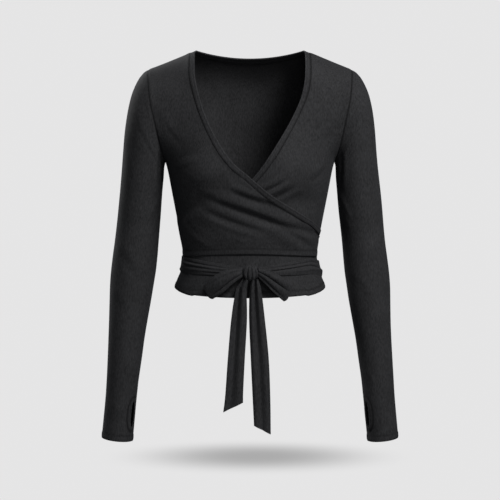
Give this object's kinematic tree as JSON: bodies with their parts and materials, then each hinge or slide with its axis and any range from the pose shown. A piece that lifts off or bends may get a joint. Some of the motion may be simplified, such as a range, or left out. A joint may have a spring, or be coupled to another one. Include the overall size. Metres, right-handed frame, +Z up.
{
  "type": "wrap top",
  "caption": "Cropped long-sleeved jersey wrap top in its worn shape, one front lapped over the other, with a waist tie knotted in a bow and thumb holes at the cuffs.",
  "frame": {"origin": "midway between the neck ends of the two shoulder seams, where the wearer's shoulders carry the top", "axes": "+Z up the body, -Y out of the front, +X to the wearer's left"},
  "size_m": [0.5172, 0.211, 0.6786],
  "materials": {
    "jersey": "soft charcoal black jersey with a faint sheen",
    "binding": "the same jersey folded into a narrow binding",
    "tie": "the same jersey, doubled into a soft tie"
  },
  "bodies": {
    "root": {"back": "jersey", "front_right": "jersey", "front_left": "jersey", "sleeve_right": "jersey", "sleeve_left": "jersey", "neck_binding_right": "binding", "neck_binding_left": "binding", "neck_binding_back": "binding", "tie_band_right": "tie", "tie_band_left": "tie", "tie_knot": "tie", "bow_loop_right": "tie", "bow_loop_left": "tie", "tie_tail_right": "tie", "tie_tail_left": "tie"}
  },
  "joints": []
}
